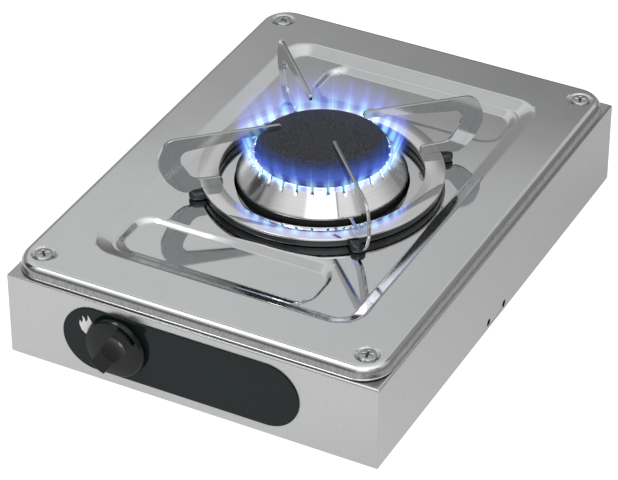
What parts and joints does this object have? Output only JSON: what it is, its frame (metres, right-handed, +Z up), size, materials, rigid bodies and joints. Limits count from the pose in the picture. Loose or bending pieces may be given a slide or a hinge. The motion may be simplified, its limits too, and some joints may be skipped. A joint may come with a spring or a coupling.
{
  "type": "single-burner gas hob",
  "caption": "Table-top gas hob: folded steel casing with a pressed pan, a capped burner, a lift-off pan support with hairpin prongs, and a push-and-turn tap.",
  "frame": {"origin": "on the table, under the burner's axis, at the middle of the casing's footprint", "axes": "+Z up; -Y towards the control panel; +Y towards the gas inlet; +X to the right as seen from the front"},
  "size_m": [0.233, 0.3421, 0.1056],
  "materials": {
    "satin_steel": "satin, fine upright grain",
    "polished_steel": "nearly mirror bright",
    "prong_steel": "satin, brighter on its cut edges",
    "zinc": "zinc plated",
    "rubber": "matt",
    "black_paint": "satin black",
    "black_plastic": "gloss black",
    "brass": "machined",
    "copper": "drawn copper tube; brass stands in for copper's density",
    "fibre": null,
    "dark_casting": "heat-darkened casting",
    "aluminium": "turned",
    "enamel": "black enamel",
    "chrome": "polished"
  },
  "bodies": {
    "hob": {"casing": "satin_steel", "base_plate": "satin_steel", "pan": "polished_steel", "rubber_feet": "rubber", "base_screws": "zinc", "base_nuts": "zinc", "pan_spacers": "zinc", "pan_screws": "polished_steel", "pan_nuts": "zinc", "control_plate": "black_paint", "tap_bracket": "zinc", "tap_body": "brass", "tap_screws": "zinc", "tap_cap": "brass", "tap_cap_screws": "zinc", "stem_seal": "rubber", "inlet_connector": "brass", "inlet_washer": "fibre", "inlet_locknut": "brass", "supply_pipe": "copper", "feed_pipe": "copper", "pipe_nuts": "brass", "pipe_olives": "brass", "burner_bracket": "zinc", "bracket_screws": "zinc", "bracket_nuts": "zinc", "burner_cup": "dark_casting", "cup_screws": "zinc", "injector": "brass"},
    "plug": {"tap_plug": "brass", "tap_spring": "zinc"},
    "knob": {"knob": "black_plastic", "knob_insert": "zinc", "tap_stem": "zinc"},
    "crown": {"burner_crown": "aluminium"},
    "cap": {"burner_cap": "enamel"},
    "support": {"support_base_ring": "enamel", "support_ring": "chrome", "prong_rear_right": "prong_steel", "prong_rear_left": "prong_steel", "prong_front_left": "prong_steel", "prong_front_right": "prong_steel"}
  },
  "joints": [
    {"name": "tap_turn", "type": "hinge", "parent": "hob", "child": "plug", "pos_m": [-0.0448, -0.131, 0.0335], "axis": [0, -1, 0], "range_deg": [-145, 65]},
    {"name": "knob_push", "type": "slide", "parent": "plug", "child": "knob", "axis": [0, 1, 0], "range_m": [0, 0.0016], "stiffness_N_per_m": 2500, "springref_m": -0.002, "deforming": ["tap_spring"]},
    {"name": "support_lift", "type": "slide", "parent": "hob", "child": "support", "axis": [0, 0, 1], "range_m": [0, 0.06]},
    {"name": "crown_lift", "type": "slide", "parent": "hob", "child": "crown", "axis": [0, 0, 1], "range_m": [0, 0.015]},
    {"name": "cap_lift", "type": "slide", "parent": "hob", "child": "cap", "axis": [0, 0, 1], "range_m": [0, 0.03]}
  ],
  "couplings": [
    {"joint": "crown_lift", "follows": "support_lift", "ratio": 0.25},
    {"joint": "cap_lift", "follows": "support_lift", "ratio": 0.5}
  ]
}
